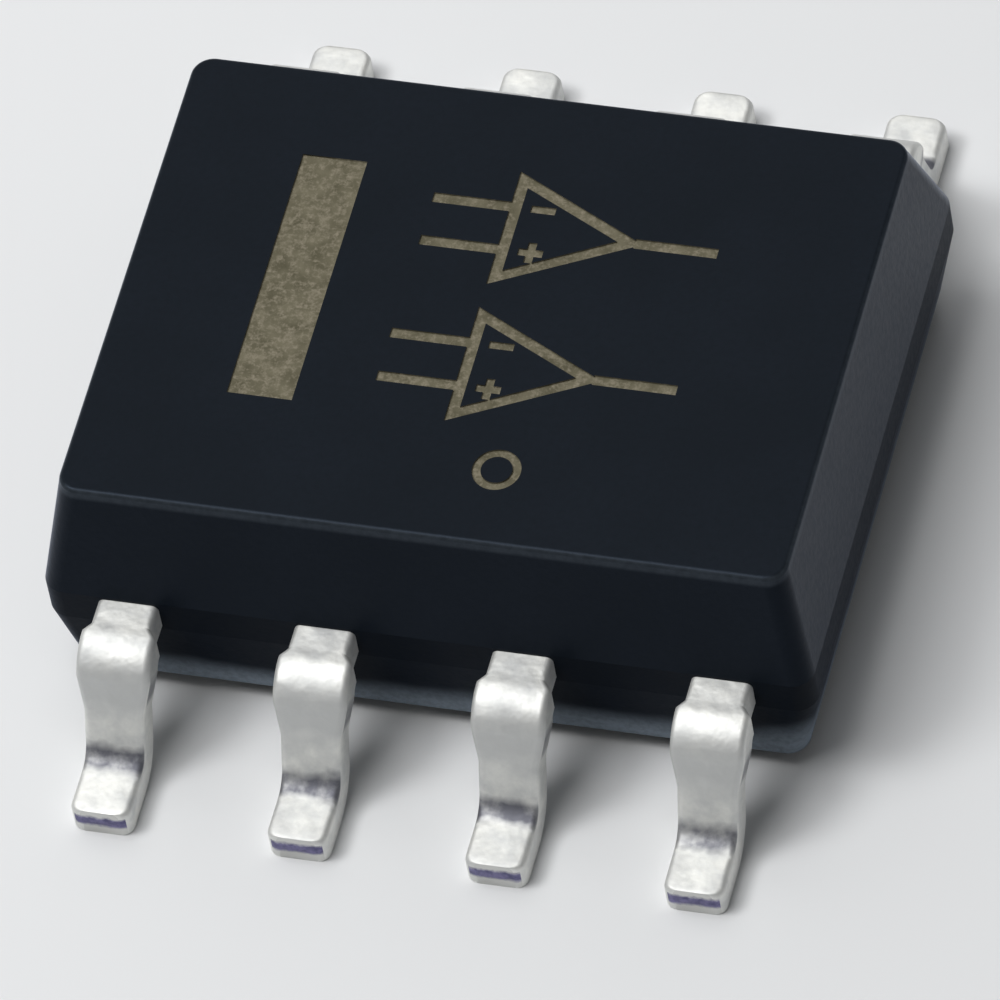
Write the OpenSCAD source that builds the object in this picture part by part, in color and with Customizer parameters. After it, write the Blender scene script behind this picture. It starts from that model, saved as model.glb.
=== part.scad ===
// Operational amplifier in an eight-lead small-outline package, in millimetres.
// The lead rows run along X, the feet stand on Z = 0 and lead 1 is at the front left.

/* [Body] */
// Length of the moulded body along the lead rows, at its parting band
body_l = 4.94; // [4.9:0.02:5.2]
// Width of the moulded body across the lead rows, at its parting band
body_w = 3.93; // [3.8:0.01:4.1]
// Height of the top face above the board
body_top = 1.71; // [1.55:0.01:1.9]
// Gap between the board and the underside of the body
standoff = 0.13; // [0.05:0.01:0.25]
// How far the draft of the mould draws the top face in along the two long sides
side_inset = 0.225; // [0.1:0.005:0.26]
// How far the draft of the mould draws the top face in at the two ends
end_inset = 0.14; // [0.08:0.005:0.26]
// How far the underside is drawn in along the two long sides
bottom_side_inset = 0.05; // [0.02:0.01:0.2]
// How far the underside is drawn in at the two ends
bottom_end_inset = 0.12; // [0.04:0.01:0.2]
// Height of the upright parting band that the leads come out of
band_h = 0.25; // [0.22:0.01:0.35]
// Plan radius of the body's upright corners
corner_r = 0.14; // [0.1:0.01:0.3]
// Radius of the rims round the top face and the underside
rim_r = 0.035; // [0.01:0.005:0.08]

/* [Marks] */
// Depth that the laser takes off the top face
mark_depth = 0.012; // [0.005:0.001:0.03]
// Width of the bar that marks the lead 1 end
bar_w = 0.42; // [0.2:0.01:0.5]
// Length of that bar
bar_l = 1.9; // [1:0.05:2.6]
// Distance from the left end of the body to the middle of the bar
bar_from_end = 1.23; // [0.6:0.01:1.6]
// Offset of the bar's middle towards the rear lead row
bar_shift = 0.11; // [-0.2:0.01:0.2]
// Outer diameter of the ring mark
ring_d = 0.31; // [0.2:0.01:0.5]
// Width of the ring mark's line
ring_line = 0.055; // [0.03:0.005:0.09]
// Offset of the ring mark from the middle of the top face, along the lead rows
ring_along = 0.37; // [-1:0.01:1]
// Offset of the ring mark from the middle of the top face, towards lead row 1 to 4
ring_across = 1.17; // [0.6:0.01:1.3]

/* [Leads] */
// Distance between neighbouring leads
pitch = 1.27; // [1.2:0.01:1.3]
// Distance between the tips of the two lead rows
span = 6.15; // [5.9:0.01:6.4]
// Thickness of the lead frame
lead_t = 0.21; // [0.15:0.01:0.21]
// Width of a lead
lead_w = 0.39; // [0.31:0.01:0.45]
// Width of a lead over the stubs of the cut dam bar
stub_w = 0.48; // [0.46:0.01:0.55]
// Length over which a lead widens towards its dam bar stubs
stub_flare = 0.06; // [0.02:0.01:0.1]
// Share of the straight shank over which a lead narrows again below its stubs
stub_fade = 0.5; // [0.2:0.05:0.9]
// Height of the leads' upper surface where they leave the body
lead_top = 0.92; // [0.85:0.01:1]
// Flat length of a lead between the body and its first bend
shoulder_l = 0.23; // [0.15:0.01:0.3]
// Inner radius of the bend at the shoulder
bend_r = 0.07; // [0.05:0.01:0.16]
// Inner radius of the bend above the foot
heel_r = 0.15; // [0.06:0.01:0.18]
// Slope of a lead between its bends, measured from the board
lead_slope = 68; // [62:1:85]
// Plan radius of the corners at a foot's tip
tip_r = 0.07; // [0.02:0.01:0.12]

/* [Lead frame inside the body] */
// Length of the die paddle along the lead rows
paddle_l = 2.4; // [2:0.05:2.5]
// Width of the die paddle
paddle_w = 1.9; // [1.5:0.05:2]
// How far the die paddle is pressed down below the leads
downset = 0.21; // [0.15:0.01:0.26]
// Gap between the die paddle and the fingers of the leads, in plan
finger_gap = 0.2; // [0.12:0.01:0.25]
// Distance from the middle line between the rows to the ends of the corner fingers
corner_finger_end = 0.6; // [0.4:0.05:0.8]
// Length of the wide bonding end of a finger
bond_end_l = 0.42; // [0.3:0.02:0.5]
// Step of the shoulders that lock a finger in the moulding
lock_step = 0.11; // [0.05:0.01:0.18]
// Width of the bars that tie the die paddle to the ends of the frame
tie_w = 0.3; // [0.2:0.02:0.4]
// Moulding left over the ends of the tie bars
tie_cover = 0.1; // [0.05:0.01:0.2]

/* [Die and wires] */
// Length of the silicon die
die_l = 1.3; // [1:0.05:1.6]
// Width of the silicon die
die_w = 1.0; // [0.8:0.05:1.3]
// Thickness of the silicon die
die_t = 0.28; // [0.2:0.01:0.3]
// Thickness of the adhesive under the die
attach_t = 0.025; // [0.01:0.005:0.05]
// How far the adhesive spreads past the die
attach_rim = 0.04; // [0.02:0.01:0.1]
// Distance of the bond pads from the edges of the die
pad_inset = 0.1; // [0.07:0.01:0.16]
// Distance of the middle leads' pads from the die's short middle line
middle_pad_at = 0.26; // [0.15:0.01:0.4]
// Distance of the corner leads' pads from the die's long middle line
corner_pad_at = 0.25; // [0.15:0.01:0.3]
// Diameter of the gold wire
wire_d = 0.03; // [0.02:0.005:0.04]
// Diameter of the ball at the die end of a wire
ball_d = 0.08; // [0.06:0.005:0.1]
// Height of that ball after bonding
ball_h = 0.02; // [0.01:0.005:0.03]
// Flattened length at the finger end of a wire
stitch_l = 0.07; // [0.04:0.01:0.1]
// How high the wire is pulled up before it turns towards its finger
loop_pull = 0.55; // [0.35:0.05:0.7]
// Length over which the wire levels out in front of its stitch
landing_l = 0.4; // [0.2:0.05:0.5]

/* [Hidden] */
$fn = 48;
lead_count = 8;
row_count = lead_count / 2;
corner_steps = 6;
bend_steps = 8;
rim_steps = 3;
wire_sides = 8;
loop_steps = 10;
cut_through = 0.1;

lead_bottom = lead_top - lead_t;
band_mid = lead_top - lead_t / 2;
paddle_bottom = lead_bottom - downset;
paddle_top = paddle_bottom + lead_t;
die_bottom = paddle_top + attach_t;
die_top = die_bottom + die_t;
finger_end_mid = paddle_w / 2 + finger_gap;
bond_end_corner = paddle_l / 2 + finger_gap;
wire_r = wire_d / 2;
wire_flat = wire_r * cos(180 / wire_sides);

bend_y = body_w / 2 + shoulder_l;
shank_l = (lead_bottom - (bend_r + heel_r + lead_t) * (1 - cos(lead_slope))) / sin(lead_slope);
foot_y = bend_y + (bend_r + heel_r + lead_t) * sin(lead_slope) + shank_l * cos(lead_slope);

body_black = "#1e2225";
tin_grey = "#c6c9c8";
copper = "#b98058";
silver_epoxy = "#a9aba6";
silicon_grey = "#5d6672";
gold = "#d8aa46";

lead_names = [for (n = [1:lead_count]) str("lead_", n)];
wire_names = [for (n = [1:lead_count]) str("bond_wire_", n)];

// Solid skin over a stack of rings of points, each ring turning left as seen from the last one
module skin(rings) {
    n = len(rings[0]);
    last = len(rings) - 1;
    start_cap = [for (k = [0:n - 1]) k];
    end_cap = [for (k = [n - 1:-1:0]) last * n + k];
    sides = [for (i = [0:last - 1]) for (k = [0:n - 1]) let (a = i * n + k, b = i * n + (k + 1) % n)
        each [[a, a + n, b + n], [a, b + n, b]]];
    polyhedron(points = [for (ring = rings) each ring], faces = concat([start_cap, end_cap], sides));
}

// Rounded rectangle at one height of the body, drawn in at its ends and sides and further by a rim
function body_ring(z, end_in, side_in, rim_in) =
    let (x = body_l / 2 - end_in - corner_r, y = body_w / 2 - side_in - corner_r, r = corner_r - rim_in)
    [for (q = [0:3]) for (j = [0:corner_steps]) let (a = 90 * (q + j / corner_steps))
        [(q == 0 || q == 3 ? x : -x) + r * cos(a), (q < 2 ? y : -y) + r * sin(a), z]];

// Rings of a rim that rolls over onto a flat face at height z, for up = 1, or below, for up = -1
function rim_rings(z, end_in, side_in, up) =
    [for (j = [0:rim_steps])
        let (a = 90 * (up > 0 ? j : rim_steps - j) / rim_steps)
        body_ring(z - up * rim_r * (1 - sin(a)), end_in, side_in, rim_r * (1 - cos(a)))];

module body_outside() {
    skin(concat(
        rim_rings(standoff, bottom_end_inset, bottom_side_inset, -1),
        [body_ring(band_mid - band_h / 2, 0, 0, 0), body_ring(band_mid + band_h / 2, 0, 0, 0)],
        rim_rings(body_top, end_inset, side_inset, 1)
    ));
}

module mark_recesses() {
    translate([-body_l / 2 + bar_from_end - bar_w / 2, bar_shift - bar_l / 2, body_top - mark_depth])
        cube([bar_w, bar_l, mark_depth + cut_through]);
    translate([ring_along, -ring_across, body_top - mark_depth])
        linear_extrude(mark_depth + cut_through)
            difference() {
                circle(d = ring_d);
                circle(d = ring_d - 2 * ring_line);
            }
}

// Leads 5 to 8 are modelled in the rear row, and leads 1 to 4 are the same turned half round
function row_place(n) = (n - 1) % row_count;
function lead_x(n) = ((row_count - 1) / 2 - row_place(n)) * pitch;
function is_corner(n) = row_place(n) == 0 || row_place(n) == row_count - 1;
function towards_middle(n) = lead_x(n) > 0 ? -1 : 1;

module in_row(n) {
    rotate([0, 0, n <= row_count ? 180 : 0])
        children();
}

// Middle of a lead's strip in its first bend and above its foot, as [y, z, slope], turned down by a
function at_bend(a) =
    let (r = bend_r + lead_t / 2)
    [bend_y + r * sin(a), band_mid - r * (1 - cos(a)), a];

function at_heel(a) =
    let (r = heel_r + lead_t / 2)
    [foot_y - r * sin(a), lead_t / 2 + r * (1 - cos(a)), a];

// Stations of the strip as [[y, z, slope], half width], over both bends to the rounded tip
function gull_wing_stations() =
    let (w = lead_w / 2, wide = stub_w / 2, from = at_bend(lead_slope), to = at_heel(lead_slope))
    concat(
        [for (j = [0:bend_steps]) [at_bend(lead_slope * j / bend_steps), wide]],
        [[from + stub_fade * (to - from), w]],
        [for (j = [bend_steps:-1:0]) [at_heel(lead_slope * j / bend_steps), w]],
        [for (j = [0:corner_steps]) let (a = 90 * j / corner_steps)
            [[span / 2 - tip_r * (1 - sin(a)), lead_t / 2, 0], w - tip_r * (1 - cos(a))]]
    );

// Section across the strip
function strip_ring(station) =
    let (p = station[0], side = [station[1], 0, 0])
    let (middle = [0, p.x, p.y], up = lead_t / 2 * [0, sin(p.z), cos(p.z)])
    [middle - side - up, middle - side + up, middle + side + up, middle + side - up];

module gull_wing() {
    skin([for (s = gull_wing_stations()) strip_ring(s)]);
}

// Plan of the flat stretch of a lead: u towards the middle of the row, y away from the middle line
function finger_plan(n) = concat(
    [[-stub_w / 2, bend_y], [-lead_w / 2, bend_y - stub_flare]],
    is_corner(n) ? corner_finger(n) : middle_finger(),
    [[lead_w / 2, bend_y - stub_flare], [stub_w / 2, bend_y]]
);

function middle_finger() =
    let (end_y = finger_end_mid, lock_y = end_y + bond_end_l, w = lead_w / 2, wide = w + lock_step)
    [[-w, lock_y], [-wide, lock_y], [-wide, end_y], [wide, end_y], [wide, lock_y], [w, lock_y]];

function corner_finger(n) =
    let (end_y = corner_finger_end, lock_y = end_y + bond_end_l, w = lead_w / 2)
    let (in_u = abs(lead_x(n)) - bond_end_corner, step_y = (body_w / 2 + lock_y) / 2)
    [[-w, step_y], [-w - lock_step, step_y], [-w - lock_step, end_y],
     [in_u, end_y], [in_u, lock_y], [w, lock_y]];

module lead(n) {
    color(tin_grey)
        in_row(n)
            translate([lead_x(n), 0, 0]) {
                gull_wing();
                translate([0, 0, lead_bottom])
                    linear_extrude(lead_t)
                        polygon([for (p = finger_plan(n)) [p.x * towards_middle(n), p.y]]);
            }
}

// The paddle's bars rise to the level of the leads and stop inside the ends of the body
module tie_bar() {
    start = paddle_l / 2;
    level = start + downset;
    end = body_l / 2 - tie_cover;
    profile = [[0, paddle_bottom], [start, paddle_bottom], [level, lead_bottom], [end, lead_bottom],
        [end, lead_top], [level, lead_top], [start, paddle_top], [0, paddle_top]];
    translate([0, tie_w / 2, 0])
        rotate([90, 0, 0])
            linear_extrude(tie_w)
                polygon(profile);
}

module die_paddle() {
    color(copper) {
        translate([-paddle_l / 2, -paddle_w / 2, paddle_bottom])
            cube([paddle_l, paddle_w, lead_t]);
        tie_bar();
        rotate([0, 0, 180])
            tie_bar();
    }
}

module die_attach() {
    l = die_l + 2 * attach_rim;
    w = die_w + 2 * attach_rim;
    color(silver_epoxy)
        translate([-l / 2, -w / 2, paddle_top])
            cube([l, w, attach_t]);
}

module silicon_die() {
    color(silicon_grey)
        translate([-die_l / 2, -die_w / 2, die_bottom])
            cube([die_l, die_w, die_t]);
}

// Ends of a wire in plan: its pad on the die and its landing on the finger
function wire_pad(n) =
    let (side = -towards_middle(n))
    is_corner(n) ? [side * (die_l / 2 - pad_inset), corner_pad_at]
                 : [side * middle_pad_at, die_w / 2 - pad_inset];

function wire_landing(n) =
    let (side = -towards_middle(n), inside = bond_end_l / 2)
    is_corner(n) ? [side * (bond_end_corner + inside), corner_finger_end + inside]
                 : [lead_x(n), finger_end_mid + inside];

function bezier(a, b, c, d, t) =
    a * pow(1 - t, 3) + 3 * b * pow(1 - t, 2) * t + 3 * c * (1 - t) * pow(t, 2) + d * pow(t, 3);

function bezier_slope(a, b, c, d, t) =
    3 * (b - a) * pow(1 - t, 2) + 6 * (c - b) * (1 - t) * t + 3 * (d - c) * pow(t, 2);

// Stations of a wire as [run, height, radius, climb angle], from the ball over the loop to the stitch
function wire_stations(run) =
    let (top = die_top + ball_h, land = lead_top + wire_flat, end = run - stitch_l)
    let (a = [0, top], b = [0, top + loop_pull], c = [end - landing_l, land], d = [end, land])
    concat(
        [[0, die_top, ball_d / 2, 90], [0, top, ball_d / 2, 90]],
        [for (i = [0:loop_steps])
            let (p = bezier(a, b, c, d, i / loop_steps), s = bezier_slope(a, b, c, d, i / loop_steps))
            [p.x, p.y, wire_r, atan2(s.y, s.x)]],
        [[run, land, wire_r, 0]]
    );

function wire_ring(station, from, along) =
    let (across = [-along.y, along.x, 0], climb = station[3])
    let (up = [-along.x * sin(climb), -along.y * sin(climb), cos(climb)])
    let (centre = [from.x + along.x * station[0], from.y + along.y * station[0], station[1]])
    [for (k = [0:wire_sides - 1]) let (a = 360 * (k + 0.5) / wire_sides)
        centre + station[2] * (cos(a) * across + sin(a) * up)];

module bond_wire(n) {
    from = wire_pad(n);
    to = wire_landing(n);
    run = norm(to - from);
    color(gold)
        in_row(n)
            skin([for (s = wire_stations(run)) wire_ring(s, from, (to - from) / run)]);
}

module molded_body() {
    color(body_black)
        difference() {
            body_outside();
            mark_recesses();
            die_paddle();
            die_attach();
            silicon_die();
            for (n = [1:lead_count]) {
                lead(n);
                bond_wire(n);
            }
        }
}

molded_body();
for (n = [1:lead_count]) {
    lead(n);
    bond_wire(n);
}
die_paddle();
die_attach();
silicon_die();
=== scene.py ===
import math

import bmesh
import bpy
from mathutils import Matrix, Vector


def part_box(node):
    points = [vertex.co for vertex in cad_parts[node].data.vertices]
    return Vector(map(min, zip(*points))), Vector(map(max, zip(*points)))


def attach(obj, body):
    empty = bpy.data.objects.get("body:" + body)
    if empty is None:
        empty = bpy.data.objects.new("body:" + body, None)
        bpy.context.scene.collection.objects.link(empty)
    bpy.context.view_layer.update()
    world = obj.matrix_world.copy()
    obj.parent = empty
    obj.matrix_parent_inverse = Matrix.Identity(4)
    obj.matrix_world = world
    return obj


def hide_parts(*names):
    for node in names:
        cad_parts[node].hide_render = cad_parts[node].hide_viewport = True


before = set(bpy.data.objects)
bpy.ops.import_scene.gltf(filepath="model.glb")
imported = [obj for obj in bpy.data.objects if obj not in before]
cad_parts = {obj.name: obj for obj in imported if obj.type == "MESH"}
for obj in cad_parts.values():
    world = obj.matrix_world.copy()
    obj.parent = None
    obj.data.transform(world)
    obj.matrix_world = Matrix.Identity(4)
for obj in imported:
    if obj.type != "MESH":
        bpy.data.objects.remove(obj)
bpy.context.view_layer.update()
mm = 0.001  # pieces are modelled in millimetres and turned to metres at the end


def boxInMm(node):
    low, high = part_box(node)
    return low / mm, high / mm


bodyLow, bodyHigh = boxInMm("molded_body")
print("frame loaded:", len(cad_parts), "pieces from the CAD model")

# Where the picture was taken from, as an angle, a distance and a scale
photoView = {
    "azimuth": 23.07,  # degrees, from the front towards lead 4
    "elevation": 52.10,
    "roll": -11.31,
    "distance": 94.2,  # mm from the aimed point to the lens
    "aimedHeight": 0.8,  # mm above the board
    "pixelsPerMm": 159.96,  # at the aimed point
    "aimedPixel": (502.4, 403.0),
    "imageSize": 1000,
    "sensor": 36.0,  # mm wide
    "clip": (0.1, 20),  # nearest and furthest that is drawn, in distances
}


def addCamera(view):
    azimuth, elevation, roll = (math.radians(view[k]) for k in ("azimuth", "elevation", "roll"))
    back = Vector((
        math.sin(azimuth) * math.cos(elevation),
        -math.cos(azimuth) * math.cos(elevation),
        math.sin(elevation),
    ))
    level = Vector((0, 0, 1)).cross(back).normalized()
    right = math.cos(roll) * level + math.sin(roll) * back.cross(level)
    up = back.cross(right)
    half = view["imageSize"] / 2
    aside = (half - view["aimedPixel"][0]) / view["pixelsPerMm"]
    above = (view["aimedPixel"][1] - half) / view["pixelsPerMm"]
    middle = Vector((0, 0, view["aimedHeight"])) + aside * right + above * up
    place = (middle + view["distance"] * back) * mm
    data = bpy.data.cameras.new("photoCamera")
    data.sensor_width = view["sensor"]
    data.lens = view["sensor"] * view["pixelsPerMm"] * view["distance"] / view["imageSize"]
    data.clip_start, data.clip_end = (share * view["distance"] * mm for share in view["clip"])
    camera = bpy.data.objects.new("photoCamera", data)
    turn = Matrix((right, up, back)).transposed().to_4x4()
    camera.matrix_world = Matrix.Translation(place) @ turn
    bpy.context.scene.collection.objects.link(camera)
    bpy.context.scene.camera = camera


addCamera(photoView)
print("camera placed")


# Shared helpers

def hexColour(text):
    channels = [int(text[i:i + 2], 16) / 255 for i in (1, 3, 5)]
    linear = [c / 12.92 if c <= 0.04045 else ((c + 0.055) / 1.055) ** 2.4 for c in channels]
    return (*linear, 1.0)


def addNode(tree, kind, inputs=None, **settings):
    node = tree.nodes.new(kind)
    for name, value in settings.items():
        setattr(node, name, value)
    for socket, value in (inputs or {}).items():
        if isinstance(value, bpy.types.NodeSocket):
            tree.links.new(value, node.inputs[socket])
        else:
            node.inputs[socket].default_value = value
    return node


def startMaterial(name):
    material = bpy.data.materials.new(name)
    material.use_nodes = True
    tree = material.node_tree
    shader = tree.nodes["Principled BSDF"]
    place = addNode(tree, "ShaderNodeTexCoord").outputs["Object"]
    return material, tree, shader, place


def perMetre(sizeMm):
    return 1 / (sizeMm * mm)  # a noise scale whose grains are about this wide


noiseMiddle = (0.35, 0.65)  # where most of a noise's values lie
noiseSpan = (0.3, 0.7)  # and nearly all of them


# Silica-filled epoxy moulded in a spark-eroded cavity: near black and cool, a dull sheen, an even grain
# of small pits, a painted highlight along the top rim and a painted reflection along the lower edges
moldFinish = {  # lengths in mm
    "dark": "#05080b",
    "light": "#0a0e13",
    # pale tone of the painted highlight on the rim and the painted reflection on the lower edges
    "paintedTone": "#7a848e",
    "shine": 0.14,
    "shineTint": "#c6dcfb",
    "haze": 0.2,  # fine dust that shows at low angles
    "hazeTint": "#6b95d2",
    "hazeRoughness": 0.4,
    "roughness": (0.28, 0.38),
    "grain": 0.045,  # the real pits are about half as wide, too fine to show
    "grainDepth": 0.0016,
    "cloud": 0.7,
    "toneRange": (0.12, 0.4),  # of grain times cloud: all dark, all light
    "lowerReflection": (0.02, 0.05, 0.27),  # painted reflection, at heights above the underside: full from, full to, gone
    "lowerEnd": (0.5, 0.6),  # shares of the height over which lean, patches and corner lift fade out
    "reflectionLean": 0.2,  # how much further up the painted reflection goes towards lead 4's end
    "reflectionRagged": 0.08,  # and how much further up or down in patches
    "rimHighlight": (0.004, 0.045, 0.075),  # painted highlight, at depths below the top face, likewise
    "rimHighlightLevel": 0.13,  # level of the rim's painted highlight, as a share of the lower edges' painted reflection
    "cornerReach": 0.5,
    "cornerLift": 0.3,  # how much further up the painted reflection goes at the corners
    "patchiness": 0.25,  # share of the painted highlight and reflection that the grain takes back
    "patchRange": (0.35, 0.6),  # of the grain: most taken back, none
    "rearReflection": 0.5,  # share of the front's painted highlight and reflection that the rear has
}

# The parting band and what is below it, blasted to take off the flash:
# the same epoxy with little sheen left
blastedFinish = {**moldFinish, "shine": 0.06, "haze": 0.08, "roughness": (0.45, 0.55)}


def lowerShare(tree, apart, cloud, finish):
    # Height as a share of the body, pulled down where the painted reflection at its foot reaches further up
    near = []
    for axis in (0, 1):
        side = addNode(tree, "ShaderNodeMath", {0: apart[axis]}, operation="ABSOLUTE").outputs[0]
        edge = bodyHigh[axis]
        near.append(addNode(tree, "ShaderNodeMapRange", {
            0: side, 1: (edge - finish["cornerReach"]) * mm, 2: edge * mm}).outputs[0])
    corner = addNode(tree, "ShaderNodeMath", {0: near[0], 1: near[1]}, operation="MULTIPLY").outputs[0]
    share = addNode(tree, "ShaderNodeMapRange", {
        0: apart[2], 1: bodyLow.z * mm, 2: bodyHigh.z * mm}).outputs[0]
    full, gone = finish["lowerEnd"]
    low = addNode(tree, "ShaderNodeMapRange", {0: share, 1: full, 2: gone, 3: 1.0, 4: 0.0}).outputs[0]
    lean = addNode(tree, "ShaderNodeMapRange", {
        0: apart[0], 1: bodyLow.x * mm, 2: bodyHigh.x * mm, 3: 0.0, 4: finish["reflectionLean"]}).outputs[0]
    ragged = addNode(tree, "ShaderNodeMapRange", {
        0: cloud, 1: noiseMiddle[0], 2: noiseMiddle[1],
        3: -finish["reflectionRagged"], 4: finish["reflectionRagged"]}).outputs[0]
    uneven = addNode(tree, "ShaderNodeMath", {0: lean, 1: ragged}, operation="ADD").outputs[0]
    lift = addNode(tree, "ShaderNodeMath", {
        0: corner, 1: finish["cornerLift"], 2: uneven}, operation="MULTIPLY_ADD").outputs[0]
    pull = addNode(tree, "ShaderNodeMath", {0: lift, 1: low}, operation="MULTIPLY").outputs[0]
    kept = addNode(tree, "ShaderNodeMath", {0: 1.0, 1: pull}, operation="SUBTRACT").outputs[0]
    return addNode(tree, "ShaderNodeMath", {0: share, 1: kept}, operation="MULTIPLY").outputs[0]


def makeMoldCompound(name, finish):
    material, tree, shader, place = startMaterial(name)
    grain = addNode(tree, "ShaderNodeTexNoise", {
        "Vector": place, "Scale": perMetre(finish["grain"]), "Detail": 3.0, "Roughness": 0.6})
    cloud = addNode(tree, "ShaderNodeTexNoise", {
        "Vector": place, "Scale": perMetre(finish["cloud"]), "Detail": 2.0})
    tone = addNode(tree, "ShaderNodeMath", {0: grain.outputs[0], 1: cloud.outputs[0]}, operation="MULTIPLY")
    low, high = finish["toneRange"]
    spread = addNode(tree, "ShaderNodeMapRange", {0: tone.outputs[0], 1: low, 2: high})
    clean = addNode(tree, "ShaderNodeMix", {
        0: spread.outputs[0], 6: hexColour(finish["dark"]), 7: hexColour(finish["light"]),
    }, data_type="RGBA")
    apart = addNode(tree, "ShaderNodeSeparateXYZ", {0: place}).outputs
    # Painted highlight along the top rim and painted reflection along the lower edges, by height
    reflectionRamp = addNode(tree, "ShaderNodeValToRGB", {0: lowerShare(tree, apart, cloud.outputs[0], finish)})
    ramp = reflectionRamp.color_ramp
    ramp.interpolation = "EASE"
    ramp.elements[-1].color = (0, 0, 0, 1)  # the top face itself has no painted highlight, as the underside has none
    tall = bodyHigh.z - bodyLow.z
    heights = list(finish["lowerReflection"]) + [tall - depth for depth in finish["rimHighlight"]]
    levels = [1, 1, 0] + [finish["rimHighlightLevel"], finish["rimHighlightLevel"], 0]
    for h, level in zip(heights, levels):
        ramp.elements.new(h / tall).color = (level, level, level, 1)
    low, high = finish["patchRange"]
    uneven = addNode(tree, "ShaderNodeMapRange", {
        0: grain.outputs[0], 1: low, 2: high, 3: 1 - finish["patchiness"], 4: 1.0})
    fade = addNode(tree, "ShaderNodeMapRange", {
        0: apart[1], 1: bodyLow.y * mm, 2: bodyHigh.y * mm, 3: 1.0, 4: finish["rearReflection"]})
    patchy = addNode(tree, "ShaderNodeMath", {0: reflectionRamp.outputs[0], 1: uneven.outputs[0]}, operation="MULTIPLY")
    paintedAmount = addNode(tree, "ShaderNodeMath", {0: patchy.outputs[0], 1: fade.outputs[0]}, operation="MULTIPLY")
    colour = addNode(tree, "ShaderNodeMix", {
        0: paintedAmount.outputs[0], 6: clean.outputs[2], 7: hexColour(finish["paintedTone"])}, data_type="RGBA")
    dull = addNode(tree, "ShaderNodeMapRange", {
        0: grain.outputs[0], 1: noiseSpan[0], 2: noiseSpan[1],
        3: finish["roughness"][0], 4: finish["roughness"][1]})
    bump = addNode(tree, "ShaderNodeBump", {
        "Height": grain.outputs[0], "Distance": finish["grainDepth"] * mm})
    tree.links.new(colour.outputs[2], shader.inputs["Base Color"])
    tree.links.new(dull.outputs[0], shader.inputs["Roughness"])
    tree.links.new(bump.outputs[0], shader.inputs["Normal"])
    shader.inputs["Specular IOR Level"].default_value = finish["shine"]
    shader.inputs["Specular Tint"].default_value = hexColour(finish["shineTint"])
    shader.inputs["Sheen Weight"].default_value = finish["haze"]
    shader.inputs["Sheen Tint"].default_value = hexColour(finish["hazeTint"])
    shader.inputs["Sheen Roughness"].default_value = finish["hazeRoughness"]
    return material


# Laser mark: the beam burns the resin off and leaves pale silica grains in a tan char,
# so it is dull and speckled
markFinish = {
    "char": "#54503f",
    "tan": "#6c6755",
    "silica": "#827b6a",
    "shine": 0.2,
    "roughness": 0.85,
    "speckle": 0.035,  # mm, as wide as the larger silica grains
    "silicaRange": (0.46, 0.72),  # of the speckle: none, all silica
    "blotch": 0.12,
    "charRange": (0.3, 0.68),  # of the blotches: all char, all tan
    "pitDepth": 0.004,
}


def makeLaserMark(finish):
    material, tree, shader, place = startMaterial("laserMark")
    speckle = addNode(tree, "ShaderNodeTexNoise", {
        "Vector": place, "Scale": perMetre(finish["speckle"]), "Detail": 2.0, "Roughness": 0.7})
    blotch = addNode(tree, "ShaderNodeTexNoise", {
        "Vector": place, "Scale": perMetre(finish["blotch"]), "Detail": 2.0})
    low, high = finish["charRange"]
    burnt = addNode(tree, "ShaderNodeMapRange", {0: blotch.outputs[0], 1: low, 2: high})
    base = addNode(tree, "ShaderNodeMix", {
        0: burnt.outputs[0], 6: hexColour(finish["char"]), 7: hexColour(finish["tan"])}, data_type="RGBA")
    low, high = finish["silicaRange"]
    pale = addNode(tree, "ShaderNodeMapRange", {0: speckle.outputs[0], 1: low, 2: high})
    colour = addNode(tree, "ShaderNodeMix", {
        0: pale.outputs[0], 6: base.outputs[2], 7: hexColour(finish["silica"])}, data_type="RGBA")
    bump = addNode(tree, "ShaderNodeBump", {
        "Height": speckle.outputs[0], "Distance": finish["pitDepth"] * mm})
    tree.links.new(colour.outputs[2], shader.inputs["Base Color"])
    tree.links.new(bump.outputs[0], shader.inputs["Normal"])
    shader.inputs["Roughness"].default_value = finish["roughness"]
    shader.inputs["Specular IOR Level"].default_value = finish["shine"]
    return material


# Matte tin plated on copper alloy: a pale frosted metal with small crystals and dents, faintly clouded
# where it was handled, with painted shade on the shank and in the heel, and darker on the stubs' walls
tinFinish = {
    "clean": "#f0f0ec",
    "clouded": "#d9dad9",
    # painted shade on the shank
    "shankShadeColour": "#d5d6d5",
    # painted shade in the heel; the stubs' walls are darkened with the same tone
    "paintedTone": "#7d7e86",
    "roughness": (0.6, 0.7),
    "cloud": 0.2,  # mm, as the other lengths
    "cloudRange": (0.35, 0.68),  # of the clouds: clean, clouded
    "crystal": 0.02,  # real crystals are about 0.005 wide, too fine to show
    "crystalDepth": 0.0006,
    "dent": 0.13,
    "dentDepth": 0.009,
    "zoneEdges": {"shankRub": (0.18, 0.9), "heelRub": (0.22, 0.7), "stubShear": (0.3, 1.4)},  # gone, full
    "wander": 0.15,  # how far the edges of those zones stray
    "wave": 0.14,  # length of their waves
    "heelPatches": (0.38, 0.58),  # of the clouds: least dark, fully dark
    "heelLeast": 0.6,  # share of the dark that is left where it is least
}


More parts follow.
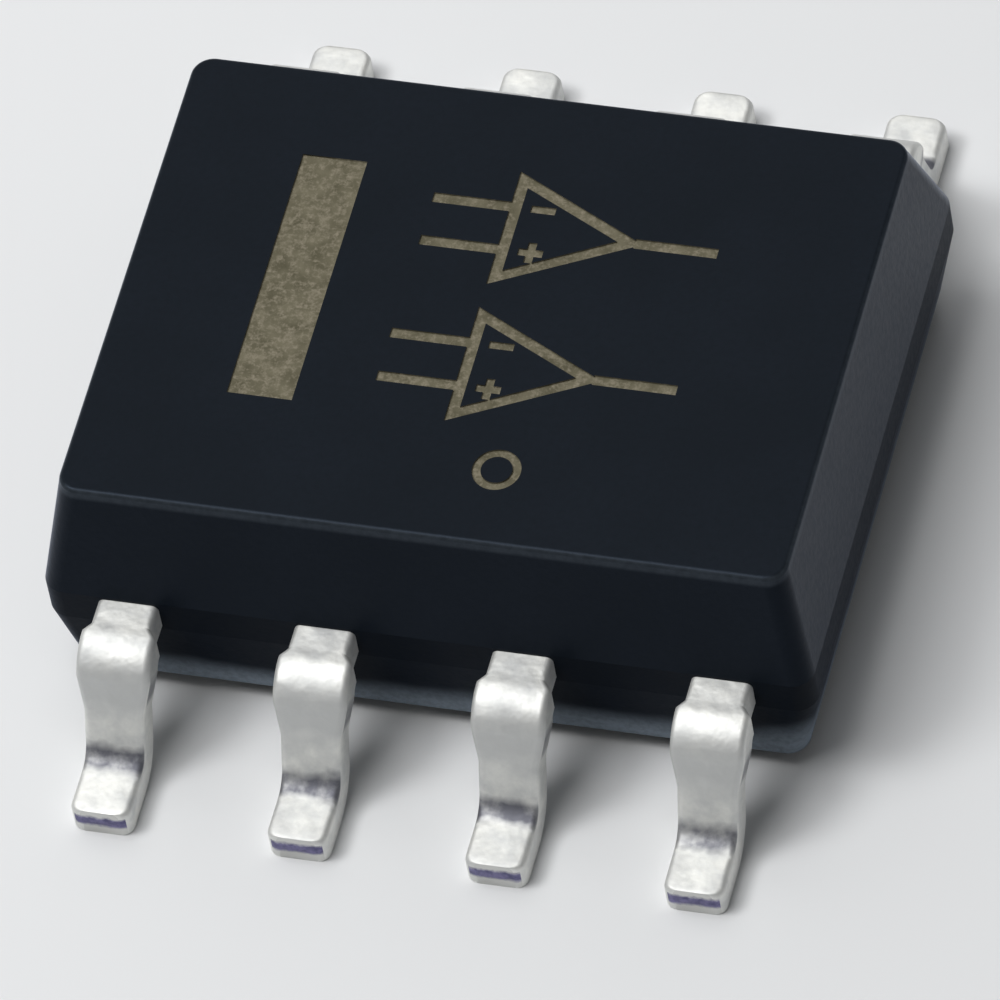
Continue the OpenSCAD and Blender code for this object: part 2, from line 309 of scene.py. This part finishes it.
def makeTinPlating(finish):
    material, tree, shader, place = startMaterial("matteTin")
    cloud = addNode(tree, "ShaderNodeTexNoise", {
        "Vector": place, "Scale": perMetre(finish["cloud"]), "Detail": 4.0, "Roughness": 0.6})
    crystal = addNode(tree, "ShaderNodeTexNoise", {
        "Vector": place, "Scale": perMetre(finish["crystal"]), "Detail": 2.0})
    low, high = finish["cloudRange"]
    spread = addNode(tree, "ShaderNodeMapRange", {0: cloud.outputs[0], 1: low, 2: high})
    clean = addNode(tree, "ShaderNodeMix", {
        0: spread.outputs[0], 6: hexColour(finish["clean"]), 7: hexColour(finish["clouded"]),
    }, data_type="RGBA")
    wave = addNode(tree, "ShaderNodeTexNoise", {
        "Vector": place, "Scale": perMetre(finish["wave"]), "Detail": 2.0})
    wander = addNode(tree, "ShaderNodeMapRange", {
        0: wave.outputs[0], 1: noiseSpan[0], 2: noiseSpan[1], 3: -finish["wander"], 4: finish["wander"]})
    zones = {}
    for name, (gone, full) in finish["zoneEdges"].items():
        inside = addNode(tree, "ShaderNodeAttribute", attribute_name=name).outputs["Fac"]
        ragged = addNode(tree, "ShaderNodeMath", {0: inside, 1: wander.outputs[0]}, operation="ADD")
        zones[name] = addNode(tree, "ShaderNodeMapRange", {
            0: ragged.outputs[0], 1: gone, 2: full}).outputs[0]
    # Painted shade on the shank
    shadedShank = addNode(tree, "ShaderNodeMix", {
        0: zones["shankRub"], 6: clean.outputs[2], 7: hexColour(finish["shankShadeColour"])}, data_type="RGBA")
    # Painted shade in the heel, in patches
    low, high = finish["heelPatches"]
    patchy = addNode(tree, "ShaderNodeMapRange", {
        0: cloud.outputs[0], 1: low, 2: high, 3: finish["heelLeast"], 4: 1.0})
    heel = addNode(tree, "ShaderNodeMath", {0: zones["heelRub"], 1: patchy.outputs[0]}, operation="MULTIPLY")
    # Darker on the stubs' side walls, just past the upper bend
    paintedAmount = addNode(tree, "ShaderNodeMath", {0: heel.outputs[0], 1: zones["stubShear"]}, operation="MAXIMUM")
    colour = addNode(tree, "ShaderNodeMix", {
        0: paintedAmount.outputs[0], 6: shadedShank.outputs[2], 7: hexColour(finish["paintedTone"])}, data_type="RGBA")
    dull = addNode(tree, "ShaderNodeMapRange", {
        0: cloud.outputs[0], 1: noiseSpan[0], 2: noiseSpan[1],
        3: finish["roughness"][0], 4: finish["roughness"][1]})
    dent = addNode(tree, "ShaderNodeTexNoise", {
        "Vector": place, "Scale": perMetre(finish["dent"]), "Detail": 2.0})
    relief = addNode(tree, "ShaderNodeMath", {
        0: dent.outputs[0], 1: finish["dentDepth"] / finish["crystalDepth"], 2: crystal.outputs[0],
    }, operation="MULTIPLY_ADD")
    bump = addNode(tree, "ShaderNodeBump", {
        "Height": relief.outputs[0], "Distance": finish["crystalDepth"] * mm})
    tree.links.new(colour.outputs[2], shader.inputs["Base Color"])
    tree.links.new(dull.outputs[0], shader.inputs["Roughness"])
    tree.links.new(bump.outputs[0], shader.inputs["Normal"])
    shader.inputs["Metallic"].default_value = 1.0
    return material


# Foot end, cut after plating: a line of bare copper alloy, tarnished and torn,
# with tin dragged over its upper and lower edges by the blade
cutFinish = {
    "copper": "#807ca0",
    "tarnish": "#5e5c7e",
    "tin": "#d4d4d1",
    "bareHeights": (0.075, 0.155),  # mm above the board
    "smearSoftness": 0.015,
    "tear": 0.05,
    "tearDepth": 0.004,
    "roughness": 0.5,
}


def makeCutCopper(finish):
    material, tree, shader, place = startMaterial("cutCopper")
    tear = addNode(tree, "ShaderNodeTexNoise", {
        "Vector": place, "Scale": perMetre(finish["tear"]), "Detail": 3.0})
    patch = addNode(tree, "ShaderNodeMapRange", {
        0: tear.outputs[0], 1: noiseMiddle[0], 2: noiseMiddle[1]})
    bare = addNode(tree, "ShaderNodeMix", {
        0: patch.outputs[0], 6: hexColour(finish["tarnish"]), 7: hexColour(finish["copper"]),
    }, data_type="RGBA")
    height = addNode(tree, "ShaderNodeSeparateXYZ", {0: place}).outputs[2]
    ragged = addNode(tree, "ShaderNodeMath", {
        0: tear.outputs[0], 1: finish["tear"] * mm, 2: height}, operation="MULTIPLY_ADD")
    low, high = ((h + finish["tear"] / 2) * mm for h in finish["bareHeights"])
    soft = finish["smearSoftness"] * mm
    above = addNode(tree, "ShaderNodeMapRange", {0: ragged.outputs[0], 1: low - soft, 2: low + soft})
    below = addNode(tree, "ShaderNodeMapRange", {
        0: ragged.outputs[0], 1: high - soft, 2: high + soft, 3: 1.0, 4: 0.0})
    line = addNode(tree, "ShaderNodeMath", {0: above.outputs[0], 1: below.outputs[0]}, operation="MULTIPLY")
    colour = addNode(tree, "ShaderNodeMix", {
        0: line.outputs[0], 6: hexColour(finish["tin"]), 7: bare.outputs[2]}, data_type="RGBA")
    bump = addNode(tree, "ShaderNodeBump", {
        "Height": tear.outputs[0], "Distance": finish["tearDepth"] * mm})
    tree.links.new(colour.outputs[2], shader.inputs["Base Color"])
    tree.links.new(bump.outputs[0], shader.inputs["Normal"])
    shader.inputs["Metallic"].default_value = 1.0
    shader.inputs["Roughness"].default_value = finish["roughness"]
    return material


# The pieces sealed inside, each one noise between two tones of its material:
# stamped copper alloy, cured silver paste, a polished silicon die and drawn gold
innerFinishes = {
    "stampedCopper": {"tones": ("#b0744c", "#c68a60"), "metallic": 1.0, "roughness": 0.35, "grain": 0.08},
    "silverPaste": {"tones": ("#9a9b97", "#b9bab6"), "metallic": 0.6, "roughness": 0.6, "grain": 0.03},
    "polishedSilicon": {"tones": ("#525b68", "#69747f"), "metallic": 0.5, "roughness": 0.15, "grain": 0.1},
    "drawnGold": {"tones": ("#d29f3c", "#e2b75a"), "metallic": 1.0, "roughness": 0.22, "grain": 0.02},
}


def makeInnerMaterial(name, finish):
    material, tree, shader, place = startMaterial(name)
    grain = addNode(tree, "ShaderNodeTexNoise", {
        "Vector": place, "Scale": perMetre(finish["grain"]), "Detail": 3.0})
    spread = addNode(tree, "ShaderNodeMapRange", {
        0: grain.outputs[0], 1: noiseMiddle[0], 2: noiseMiddle[1]})
    dark, light = (hexColour(tone) for tone in finish["tones"])
    colour = addNode(tree, "ShaderNodeMix", {0: spread.outputs[0], 6: dark, 7: light}, data_type="RGBA")
    tree.links.new(colour.outputs[2], shader.inputs["Base Color"])
    shader.inputs["Metallic"].default_value = finish["metallic"]
    shader.inputs["Roughness"].default_value = finish["roughness"]
    return material


moldCompound = makeMoldCompound("moldCompound", moldFinish)
blastedMold = makeMoldCompound("blastedMold", blastedFinish)
laserMark = makeLaserMark(markFinish)
matteTin = makeTinPlating(tinFinish)
cutCopper = makeCutCopper(cutFinish)
innerMaterials = {name: makeInnerMaterial(name, finish) for name, finish in innerFinishes.items()}
print("materials made")


# Mesh helpers, all in millimetres

def skinRings(bm, rings, sharpRings=()):
    loops = [[bm.verts.new(p) for p in ring] for ring in rings]
    count = len(loops[0])
    bands = []
    for a, b in zip(loops, loops[1:]):
        corners = [(a[k], a[(k + 1) % count], b[(k + 1) % count], b[k]) for k in range(count)]
        bands.append([bm.faces.new(quad) for quad in corners])
        for face in bands[-1]:
            face.smooth = True
    startCap = bm.faces.new(list(reversed(loops[0])))
    endCap = bm.faces.new(loops[-1])
    for index in sharpRings:
        for k in range(count):
            bm.edges.get((loops[index][k], loops[index][(k + 1) % count])).smooth = False
    return bands, startCap, endCap


def addPrism(bm, outline, low, high):
    skinRings(bm, [[(x, y, z) for x, y in outline] for z in (low, high)])


def addBand(bm, outer, inner, low, high):
    # A prism with a hole of the same number of corners
    loops = [[bm.verts.new((x, y, z)) for x, y in line] for line, z in (
        (outer, low), (outer, high), (inner, high), (inner, low))]
    count = len(outer)
    for a, b in zip(loops, loops[1:] + loops[:1]):
        for k in range(count):
            n = (k + 1) % count
            bm.faces.new((a[k], a[n], b[n], b[k]))


def makeObject(name, bm, *materials):
    mesh = bpy.data.meshes.new(name)
    bmesh.ops.recalc_face_normals(bm, faces=bm.faces[:])
    bm.to_mesh(mesh)
    bm.free()
    for material in materials:
        mesh.materials.append(material)
    made = bpy.data.objects.new(name, mesh)
    bpy.context.scene.collection.objects.link(made)
    return made


def settle(made):
    # Turns an object's modifiers into its plain mesh
    bpy.context.view_layer.update()
    depsgraph = bpy.context.evaluated_depsgraph_get()
    mesh = bpy.data.meshes.new_from_object(
        made.evaluated_get(depsgraph), preserve_all_data_layers=True, depsgraph=depsgraph)
    made.modifiers.clear()
    made.data = mesh
    mesh.name = made.name


# Leads: one strip of stamped alloy each, swept from its finger inside the body to its foot
midLow, midHigh = boxInMm("lead_6")
nextLow, nextHigh = boxInMm("lead_7")
cornerLow = boxInMm("lead_5")[0]
leadShape = {  # lengths in mm
    "thickness": 0.21,
    "width": 0.39,
    "stubWidth": 0.48,  # over the ends of the cut dam bar
    "stubFlare": 0.06,
    "stubFade": 0.5,  # share of the shank over which it narrows again
    "shoulder": 0.23,  # from the body's side to the upper bend
    "bendRadius": 0.07,
    "heelRadius": 0.15,
    "slope": 68,  # degrees below level
    "tipRadius": 0.07,
    "rollRadius": 0.045,  # edges rolled over by the stamping punch, on the upper side
    "burrRadius": 0.015,  # edges on the lower side
    "cutSteps": 2,  # how many steps of the tip's round corners are cut with it
    "zones": {  # painted shade and darker walls: middle along the strip from the end of the upper bend, reach each way
        "shankRub": {"middle": 0.08, "reach": 0.32, "soft": 0.3, "side": "upper"},
        "heelRub": {"middle": 0.61, "reach": 0.23, "soft": 0.23, "side": "upper"},
        "stubShear": {"middle": 0.08, "reach": 0.14, "soft": 0.08, "side": "walls"},
    },
    "bondEnd": 0.42,  # length of the wide end that a wire is bonded to
    "lockStep": 0.11,  # how far that end stands out at each side
    "step": 0.035,  # length of the mesh's faces along the strip
    "arcSteps": 16,
    "edgeSteps": 5,
    "sharpAngle": 32,  # degrees between faces, above which an edge is not smoothed
    "inRow": 4,
}
leadTop = midHigh.z
leadMiddle = leadTop - leadShape["thickness"] / 2
tipY = midHigh.y
pitch = (midLow.x + midHigh.x - nextLow.x - nextHigh.x) / 2
bendY = bodyHigh.y + leadShape["shoulder"]
leadNumbers = range(1, 2 * leadShape["inRow"] + 1)


def stripPath(shape, startY):
    # Stations along the middle of the strip: y, z, slope angle and half its width there
    half = shape["thickness"] / 2
    slope = math.radians(shape["slope"])
    width, stub = shape["width"] / 2, shape["stubWidth"] / 2
    bend, heel = shape["bendRadius"] + half, shape["heelRadius"] + half
    stations = []

    def straight(fromY, fromZ, angle, length, widthAt):
        count = max(1, round(length / shape["step"]))
        for i in range(count + 1):
            run = length * i / count
            stations.append((
                fromY + run * math.cos(angle), fromZ + run * math.sin(angle), angle, widthAt(i / count)))

    flareY = bendY - shape["stubFlare"]
    straight(startY, leadMiddle, 0, flareY - startY, lambda share: width)
    straight(flareY, leadMiddle, 0, shape["stubFlare"], lambda share: width + (stub - width) * share)
    for i in range(1, shape["arcSteps"] + 1):
        turn = slope * i / shape["arcSteps"]
        drop = bend * (1 - math.cos(turn))
        stations.append((bendY + bend * math.sin(turn), leadMiddle - drop, -turn, stub))
    bentAt = len(stations) - 1
    bentY, bentZ = stations[-1][:2]
    shank = (bentZ - half - heel * (1 - math.cos(slope))) / math.sin(slope)
    straight(
        bentY, bentZ, -slope, shank,
        lambda share: max(width, stub - (stub - width) * share / shape["stubFade"]))
    heelY = stations[-1][0] + heel * math.sin(slope)
    for i in range(1, shape["arcSteps"] + 1):
        turn = slope * (1 - i / shape["arcSteps"])
        stations.append((heelY - heel * math.sin(turn), half + heel * (1 - math.cos(turn)), -turn, width))
    tip = shape["tipRadius"]
    straight(heelY, half, 0, tipY - tip - heelY, lambda share: width)
    for i in range(1, shape["edgeSteps"] + 1):
        turn = math.pi / 2 * i / shape["edgeSteps"]
        stations.append((tipY - tip * (1 - math.sin(turn)), half, 0, width - tip * (1 - math.cos(turn))))
    return stations, bentAt


def stripSection(shape, left, right):
    # Rounded outline across the strip: sideways place and height, anticlockwise seen from its end
    half = shape["thickness"] / 2
    outline = []
    for x, side, radius, start in (
        (right, 1, shape["burrRadius"], -90), (right, 1, shape["rollRadius"], 0),
        (left, -1, shape["rollRadius"], 90), (left, -1, shape["burrRadius"], 180),
    ):
        upper = start in (0, 90)
        z = half - radius if upper else -half + radius
        for i in range(shape["edgeSteps"] + 1):
            a = math.radians(start + 90 * i / shape["edgeSteps"])
            outline.append((x - side * radius + radius * math.cos(a), z + radius * math.sin(a)))
    return outline


def markZones(bm, shape, stations, bentAt, fingerRings):
    # Writes how far inside each painted stretch the points of the strip lie: 1 well inside, 0 outside
    run = [0.0]
    for a, b in zip(stations, stations[1:]):
        run.append(run[-1] + math.dist(a[:2], b[:2]))
    corner = shape["edgeSteps"] + 1  # points round each edge of the section
    rolled = shape["edgeSteps"] // 2  # painted shade on the upper side stops half-way round the rolled edges
    sides = {
        "upper": range(corner + rolled, 3 * corner - rolled),
        "walls": (corner - 1, corner, 3 * corner - 1, 3 * corner),
    }
    for name, zone in shape["zones"].items():
        layer = bm.verts.layers.float.new(name)
        middle = run[bentAt] + zone["middle"]
        for index, vert in enumerate(bm.verts):
            ring, point = divmod(index, 4 * corner)
            if ring >= fingerRings and point in sides[zone["side"]]:
                inside = zone["reach"] - abs(run[ring - fingerRings] - middle)
                vert[layer] = min(1.0, max(0.0, inside / zone["soft"]))


def makeLead(name, shape, startY, fingerSpans):
    # fingerSpans gives the left and right edges of the strip inside the body, as (end y, left, right)
    rings = []

    def addRing(y, z, angle, left, right):
        outward = Vector((0, -math.sin(angle), math.cos(angle)))
        rings.append([
            Vector((u, y, z)) + h * outward for u, h in stripSection(shape, left, right)])

    begin = startY
    for end, left, right in fingerSpans:
        addRing(begin, leadMiddle, 0, left, right)
        addRing(end, leadMiddle, 0, left, right)
        begin = end
    stations, bentAt = stripPath(shape, begin)
    fingerRings = len(rings)
    for y, z, angle, half in stations:
        addRing(y, z, angle, -half, half)
    bm = bmesh.new()
    cutFace = bm.faces.layers.bool.new("cutFace")
    bands, _, tipCap = skinRings(bm, rings)
    tipCap[cutFace] = True
    markZones(bm, shape, stations, bentAt, fingerRings)
    corner = shape["edgeSteps"] + 1
    for band in bands[-shape["cutSteps"]:]:
        for wall in (corner - 1, 3 * corner - 1):
            band[wall][cutFace] = True
    return makeObject(name, bm)


def makeLeadPieces(shape):
    wide = shape["width"] / 2 + shape["lockStep"]
    lockY = midLow.y + shape["bondEnd"]
    middle = makeLead("middleLead", shape, midLow.y, [(lockY, -wide, wide)])
    cornerX = (shape["inRow"] - 1) / 2 * pitch
    reach = cornerX - cornerLow.x  # how far a corner finger reaches towards the middle of its row
    lockY = cornerLow.y + shape["bondEnd"]
    stepY = (bodyHigh.y + lockY) / 2
    half = shape["width"] / 2
    right = makeLead("rightCornerLead", shape, cornerLow.y, [(lockY, -reach, wide), (stepY, -half, wide)])
    left = makeLead("leftCornerLead", shape, cornerLow.y, [(lockY, -wide, reach), (stepY, -wide, half)])
    return left, middle, right


# Node tree that sets four leads at their pitch and turns a second row round to the front
def makeLeadRows(leftLead, middleLead, rightLead):
    tree = bpy.data.node_groups.new("leadRows", "GeometryNodeTree")
    sockets = {}
    for name, kind in (
        ("Left Lead", "NodeSocketObject"), ("Middle Lead", "NodeSocketObject"),
        ("Right Lead", "NodeSocketObject"), ("Leads In Row", "NodeSocketInt"),
        ("Pitch", "NodeSocketFloat"), ("Plating", "NodeSocketMaterial"), ("Cut End", "NodeSocketMaterial"),
    ):
        sockets[name] = tree.interface.new_socket(name, in_out="INPUT", socket_type=kind).identifier
    tree.interface.new_socket("Geometry", in_out="OUTPUT", socket_type="NodeSocketGeometry")
    given = addNode(tree, "NodeGroupInput").outputs
    last = addNode(tree, "ShaderNodeMath", {
        0: given["Leads In Row"], 1: 1.0}, operation="SUBTRACT").outputs[0]
    length = addNode(tree, "ShaderNodeMath", {0: last, 1: given["Pitch"]}, operation="MULTIPLY").outputs[0]
    start = addNode(tree, "ShaderNodeMath", {0: length, 1: -0.5}, operation="MULTIPLY").outputs[0]
    startAt = addNode(tree, "ShaderNodeCombineXYZ", {0: start}).outputs[0]
    offset = addNode(tree, "ShaderNodeCombineXYZ", {0: given["Pitch"]}).outputs[0]
    line = addNode(tree, "GeometryNodeMeshLine", {
        "Count": given["Leads In Row"], "Start Location": startAt, "Offset": offset}, mode="OFFSET")
    index = addNode(tree, "GeometryNodeInputIndex").outputs[0]
    atLeft = addNode(tree, "FunctionNodeCompare", {2: index, 3: 0}, data_type="INT", operation="EQUAL")
    atRight = addNode(tree, "FunctionNodeCompare", {2: index, 3: last}, data_type="INT", operation="EQUAL")
    atEnd = addNode(tree, "FunctionNodeBooleanMath", {
        0: atLeft.outputs[0], 1: atRight.outputs[0]}, operation="OR")
    between = addNode(tree, "FunctionNodeBooleanMath", {0: atEnd.outputs[0]}, operation="NOT")
    row = addNode(tree, "GeometryNodeJoinGeometry")
    for name, chosen in (("Left Lead", atLeft), ("Middle Lead", between), ("Right Lead", atRight)):
        lead = addNode(tree, "GeometryNodeObjectInfo", {"Object": given[name], "As Instance": True})
        placed = addNode(tree, "GeometryNodeInstanceOnPoints", {
            "Points": line.outputs[0], "Selection": chosen.outputs[0], "Instance": lead.outputs["Geometry"]})
        tree.links.new(placed.outputs[0], row.inputs[0])
    front = addNode(tree, "GeometryNodeTransform", {
        "Geometry": row.outputs[0], "Rotation": (0.0, 0.0, math.pi)})
    rows = addNode(tree, "GeometryNodeJoinGeometry", {0: row.outputs[0]})
    tree.links.new(front.outputs[0], rows.inputs[0])
    whole = addNode(tree, "GeometryNodeRealizeInstances", {"Geometry": rows.outputs[0]})
    plated = addNode(tree, "GeometryNodeSetMaterial", {
        "Geometry": whole.outputs[0], "Material": given["Plating"]})
    cut = addNode(tree, "GeometryNodeInputNamedAttribute", {"Name": "cutFace"}, data_type="BOOLEAN")
    trimmed = addNode(tree, "GeometryNodeSetMaterial", {
        "Geometry": plated.outputs[0], "Selection": cut.outputs[0], "Material": given["Cut End"]})
    addNode(tree, "NodeGroupOutput", {0: trimmed.outputs[0]})
    host = makeObject("leads", bmesh.new())
    modifier = host.modifiers.new("leadRows", "NODES")
    modifier.node_group = tree
    values = {
        "Left Lead": leftLead, "Middle Lead": middleLead, "Right Lead": rightLead,
        "Leads In Row": leadShape["inRow"], "Pitch": pitch, "Plating": matteTin, "Cut End": cutCopper,
    }
    for name, value in values.items():
        modifier[sockets[name]] = value
    host.update_tag()
    settle(host)
    for polygon in host.data.polygons:
        polygon.use_smooth = True
    host.data.set_sharp_from_angle(angle=math.radians(leadShape["sharpAngle"]))
    for pattern in (leftLead, middleLead, rightLead):
        bpy.data.objects.remove(pattern)
    return host


leads = makeLeadRows(*makeLeadPieces(leadShape))
print("leads set in rows:", len(leads.data.polygons), "faces")


# Body: a loft through rounded rectangles, drawn in above and below an upright band
bodyShape = {  # lengths in mm
    "sideInset": 0.225,  # at the top
    "endInset": 0.14,
    "bottomSideInset": 0.05,
    "bottomEndInset": 0.12,
    "bandHeight": 0.25,
    "cornerRadius": 0.14,
    "rimRadius": 0.035,
    "cornerSteps": 12,
    "rimSteps": 8,
}


def bodyRing(shape, z, endIn, sideIn, rimIn):
    x = bodyHigh.x - endIn - shape["cornerRadius"]
    y = bodyHigh.y - sideIn - shape["cornerRadius"]
    radius = shape["cornerRadius"] - rimIn
    ring = []
    for quarter, (sx, sy) in enumerate(((1, 1), (-1, 1), (-1, -1), (1, -1))):
        for i in range(shape["cornerSteps"] + 1):
            a = math.pi / 2 * (quarter + i / shape["cornerSteps"])
            ring.append((sx * x + radius * math.cos(a), sy * y + radius * math.sin(a), z))
    return ring


def rimRings(shape, z, endIn, sideIn, up):
    rings = []
    for i in range(shape["rimSteps"] + 1):
        a = math.pi / 2 * (i if up > 0 else shape["rimSteps"] - i) / shape["rimSteps"]
        level = z - up * shape["rimRadius"] * (1 - math.sin(a))
        rings.append(bodyRing(shape, level, endIn, sideIn, shape["rimRadius"] * (1 - math.cos(a))))
    return rings


def makeBodyBlock(shape):
    below = rimRings(shape, bodyLow.z, shape["bottomEndInset"], shape["bottomSideInset"], -1)
    above = rimRings(shape, bodyHigh.z, shape["endInset"], shape["sideInset"], 1)
    band = [bodyRing(shape, leadMiddle + s * shape["bandHeight"] / 2, 0, 0, 0) for s in (-1, 1)]
    rings = below + band + above
    bm = bmesh.new()
    firstBand = len(below)
    bands, underside, _ = skinRings(bm, rings, sharpRings=(0, firstBand, firstBand + 1, len(rings) - 1))
    for face in [underside] + sum(bands[:firstBand + 1], []):
        face.material_index = 1
    return makeObject("body", bm, moldCompound, blastedMold)


# Marks burnt into the top face: a bar at lead 1's end, a ring, and two plain amplifier signs
markShape = {  # lengths in mm, places from the middle of the top
    "depth": 0.012,
    "proud": 0.05,  # how far the cutting shapes stand above the face
    "barMiddle": (-1.24, 0.11),
    "barSize": (0.42, 1.9),
    "ringMiddle": (0.37, -1.17),
    "ringDiameter": 0.31,
    "ringLine": 0.055,
    "ringSides": 64,
    "stroke": 0.075,
    "signMiddles": ((0.4, 0.68), (0.4, -0.4)),
    "signHeight": 0.9,
    "signDepth": 0.9,  # from the flat side of the triangle to its tip
    "signWires": 0.5,
    "inputSpacing": 0.34,
    "plusSize": 0.16,
    "plusStroke": 0.055,
    "plusGap": 0.06,  # between the flat side and the plus and minus
}


def rectangle(middle, size):
    (x, y), (w, h) = middle, size
    return [(x - w / 2, y - h / 2), (x + w / 2, y - h / 2), (x + w / 2, y + h / 2), (x - w / 2, y + h / 2)]


def circle(middle, diameter, sides):
    turns = [2 * math.pi * i / sides for i in range(sides)]
    return [(middle[0] + diameter / 2 * math.cos(a), middle[1] + diameter / 2 * math.sin(a)) for a in turns]


def triangle(x, y, height, depth, inset):
    # A triangle that points along +X, drawn in by the same width on its three sides
    slant = math.hypot(depth, height / 2)
    tip = inset * slant / (height / 2)
    halfBase = height / 2 * (1 - (inset + tip) / depth)
    return [(x + inset, y - halfBase), (x + depth - tip, y), (x + inset, y + halfBase)]


def addAmplifierSign(bm, shape, middle, low, high):
    x, y = middle
    back = x - shape["signDepth"] / 2
    stroke, wire = shape["stroke"], shape["signWires"]
    addBand(
        bm, triangle(back, y, shape["signHeight"], shape["signDepth"], 0),
        triangle(back, y, shape["signHeight"], shape["signDepth"], stroke), low, high)
    tip = back + shape["signDepth"]
    overlap = stroke / 2
    plus, thin = shape["plusSize"], shape["plusStroke"]
    plusX = back + stroke + shape["plusGap"] + plus / 2
    above, below = (y + side * shape["inputSpacing"] / 2 for side in (1, -1))
    bars = [
        ((tip + wire / 2 - overlap, y), (wire + overlap, stroke)),
        ((back - wire / 2 + overlap / 2, above), (wire + overlap, stroke)),
        ((back - wire / 2 + overlap / 2, below), (wire + overlap, stroke)),
        ((plusX, above), (plus, thin)),
        ((plusX, below), (plus, thin)),
        ((plusX, below), (thin, plus)),
    ]
    for barMiddle, size in bars:
        addPrism(bm, rectangle(barMiddle, size), low, high)


def makeMarkCutter(shape):
    low, high = bodyHigh.z - shape["depth"], bodyHigh.z + shape["proud"]
    bm = bmesh.new()
    addPrism(bm, rectangle(shape["barMiddle"], shape["barSize"]), low, high)
    rings = [
        circle(shape["ringMiddle"], shape["ringDiameter"] - inset, shape["ringSides"])
        for inset in (0, 2 * shape["ringLine"])]
    addBand(bm, *rings, low, high)
    for middle in shape["signMiddles"]:
        addAmplifierSign(bm, shape, middle, low, high)
    return makeObject("markCutter", bm, laserMark)


def cutAway(block, cutter):
    modifier = block.modifiers.new("cut", "BOOLEAN")
    modifier.operation = "DIFFERENCE"
    modifier.solver = "EXACT"
    modifier.use_self = True
    modifier.material_mode = "TRANSFER"
    modifier.object = cutter
    settle(block)
    bpy.data.objects.remove(cutter)


body = makeBodyBlock(bodyShape)
cutAway(body, makeMarkCutter(markShape))
weighted = body.modifiers.new("evenNormals", "WEIGHTED_NORMAL")
weighted.keep_sharp = True
settle(body)
print("body lofted and marked:", len(body.data.polygons), "faces")


# Pieces go from millimetres to the frame's metres and onto the one body
def setOnFrame(piece, nodes):
    piece.data.transform(Matrix.Scale(mm, 4))
    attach(piece, "root")
    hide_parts(*nodes)


setOnFrame(body, ["molded_body"])
setOnFrame(leads, [f"lead_{n}" for n in leadNumbers])

innerNodes = {"die_paddle": "stampedCopper", "die_attach": "silverPaste", "silicon_die": "polishedSilicon"}
innerNodes.update({f"bond_wire_{n}": "drawnGold" for n in leadNumbers})
for name, finish in innerNodes.items():
    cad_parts[name].material_slots[0].material = innerMaterials[finish]
print("pieces placed")


# Plain pale floor and soft studio light
studio = {
    "floorColour": "#e3e4e5",
    "floorRoughness": 0.9,
    "floorShine": 0.1,
    "floorSize": 900.0,  # mm
    "surroundings": "#e4e6e8",
    "ambient": 0.18,  # share of a white card's brightness that comes from all round
    "lamps": [  # direction from the object, distance and width in mm, brightness of a white card below
        {"name": "key", "towards": (-0.5, -0.2, 0.84), "distance": 70.0, "width": 22.0, "level": 0.18},
        {"name": "overhead", "towards": (-0.3, -0.15, 0.94), "distance": 70.0, "width": 50.0, "level": 0.5},
        {"name": "back", "towards": (-0.24, 0.565, 0.789), "distance": 60.0, "width": 66.0, "level": 0.19},
    ],
}


def makeFloor(setup):
    # Pale matt paper, which shows little but the shadow
    bm = bmesh.new()
    bmesh.ops.create_grid(bm, x_segments=1, y_segments=1, size=setup["floorSize"] / 2)
    material, tree, shader, coordinates = startMaterial("paperSweep")
    tree.nodes.remove(coordinates.node)
    shader.inputs["Base Color"].default_value = hexColour(setup["floorColour"])
    shader.inputs["Roughness"].default_value = setup["floorRoughness"]
    shader.inputs["Specular IOR Level"].default_value = setup["floorShine"]
    floor = makeObject("floor", bm, material)
    floor.data.transform(Matrix.Scale(mm, 4))


def addLamps(setup):
    for lamp in setup["lamps"]:
        direction = Vector(lamp["towards"]).normalized()
        data = bpy.data.lights.new(lamp["name"], "AREA")
        data.shape = "DISK"
        data.size = lamp["width"] * mm
        far = lamp["distance"] * mm
        radius = data.size / 2
        # Power at which a white card on the floor shines as brightly as the level says
        data.energy = lamp["level"] * math.pi ** 2 * (far ** 2 + radius ** 2) / direction.z
        made = bpy.data.objects.new(lamp["name"], data)
        turn = direction.to_track_quat("Z", "Y").to_matrix().to_4x4()
        made.matrix_world = Matrix.Translation(direction * far) @ turn
        made.visible_camera = False
        bpy.context.scene.collection.objects.link(made)


def setWorld(setup):
    world = bpy.data.worlds.new("studio")
    world.use_nodes = True
    background = world.node_tree.nodes["Background"]
    background.inputs["Color"].default_value = hexColour(setup["surroundings"])
    background.inputs["Strength"].default_value = setup["ambient"]
    bpy.context.scene.world = world


makeFloor(studio)
addLamps(studio)
setWorld(studio)
bpy.context.scene.view_settings.view_transform = "Standard"
print("studio lit")
